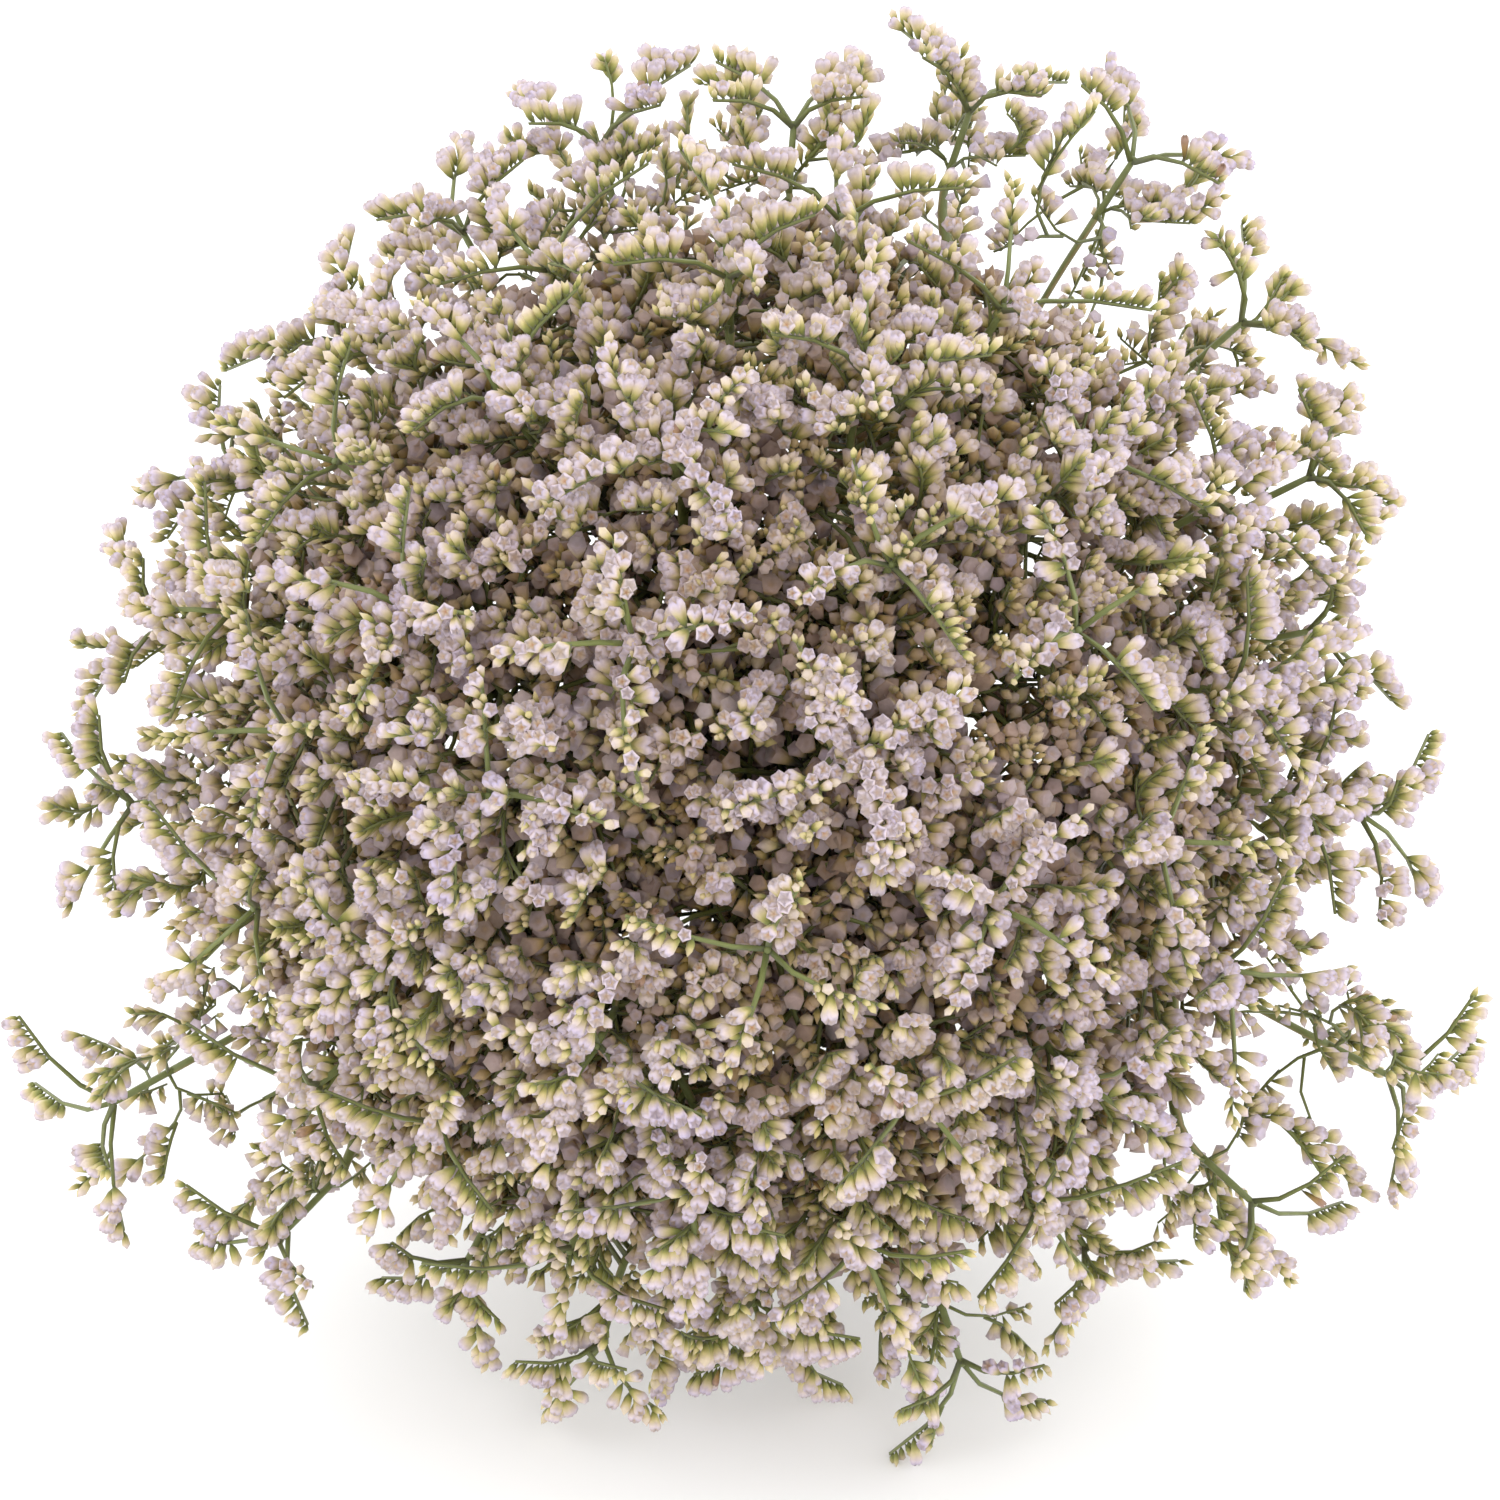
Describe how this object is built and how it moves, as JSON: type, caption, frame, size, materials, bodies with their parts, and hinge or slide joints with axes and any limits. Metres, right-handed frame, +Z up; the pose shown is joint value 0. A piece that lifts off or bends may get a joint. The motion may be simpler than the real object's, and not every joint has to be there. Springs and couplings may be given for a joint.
{
  "type": "statice stem",
  "caption": "Cut stem of statice lying on its side: a ridged green stalk that forks into a wide domed head of arching spikes set with tiny pale lavender, papery florets.",
  "frame": {"origin": "middle of the bounding box, on the surface that the stem lies on", "axes": "+Y from the flowers toward the cut end, along the surface; +Z up; the stalk rises toward the flowers at 30 degrees to the surface, so they face -Y and up"},
  "size_m": [0.3569, 0.3782, 0.3036],
  "materials": {
    "stem": "matt olive green, ridged, paler along the edges",
    "bloom": "dry and papery, lavender white at the petals and yellow green at the base"
  },
  "bodies": {
    "root": {"stem": "stem", "spray_01": "bloom", "spray_02": "bloom", "spray_03": "bloom", "spray_04": "bloom", "spray_05": "bloom", "spray_06": "bloom", "spray_07": "bloom", "spray_08": "bloom", "spray_09": "bloom", "spray_10": "bloom", "spray_11": "bloom", "spray_12": "bloom", "spray_13": "bloom", "spray_14": "bloom", "spray_15": "bloom", "spray_16": "bloom", "spray_17": "bloom", "spray_18": "bloom", "spray_19": "bloom", "spray_20": "bloom", "spray_21": "bloom", "spray_22": "bloom", "spray_23": "bloom", "spray_24": "bloom", "spray_25": "bloom", "spray_26": "bloom", "spray_27": "bloom", "spray_28": "bloom", "spray_29": "bloom", "spray_30": "bloom", "spray_31": "bloom", "spray_32": "bloom", "spray_33": "bloom", "spray_34": "bloom", "spray_35": "bloom", "spray_36": "bloom", "spray_37": "bloom", "spray_38": "bloom", "spray_39": "bloom", "spray_40": "bloom", "spray_41": "bloom", "spray_42": "bloom", "spray_43": "bloom", "spray_44": "bloom", "spray_45": "bloom", "spray_46": "bloom", "spray_47": "bloom", "spray_48": "bloom", "spray_49": "bloom", "spray_50": "bloom", "spray_51": "bloom", "spray_52": "bloom", "spray_53": "bloom", "spray_54": "bloom", "spray_55": "bloom", "spray_56": "bloom", "spray_57": "bloom", "spray_58": "bloom", "spray_59": "bloom"}
  },
  "joints": []
}
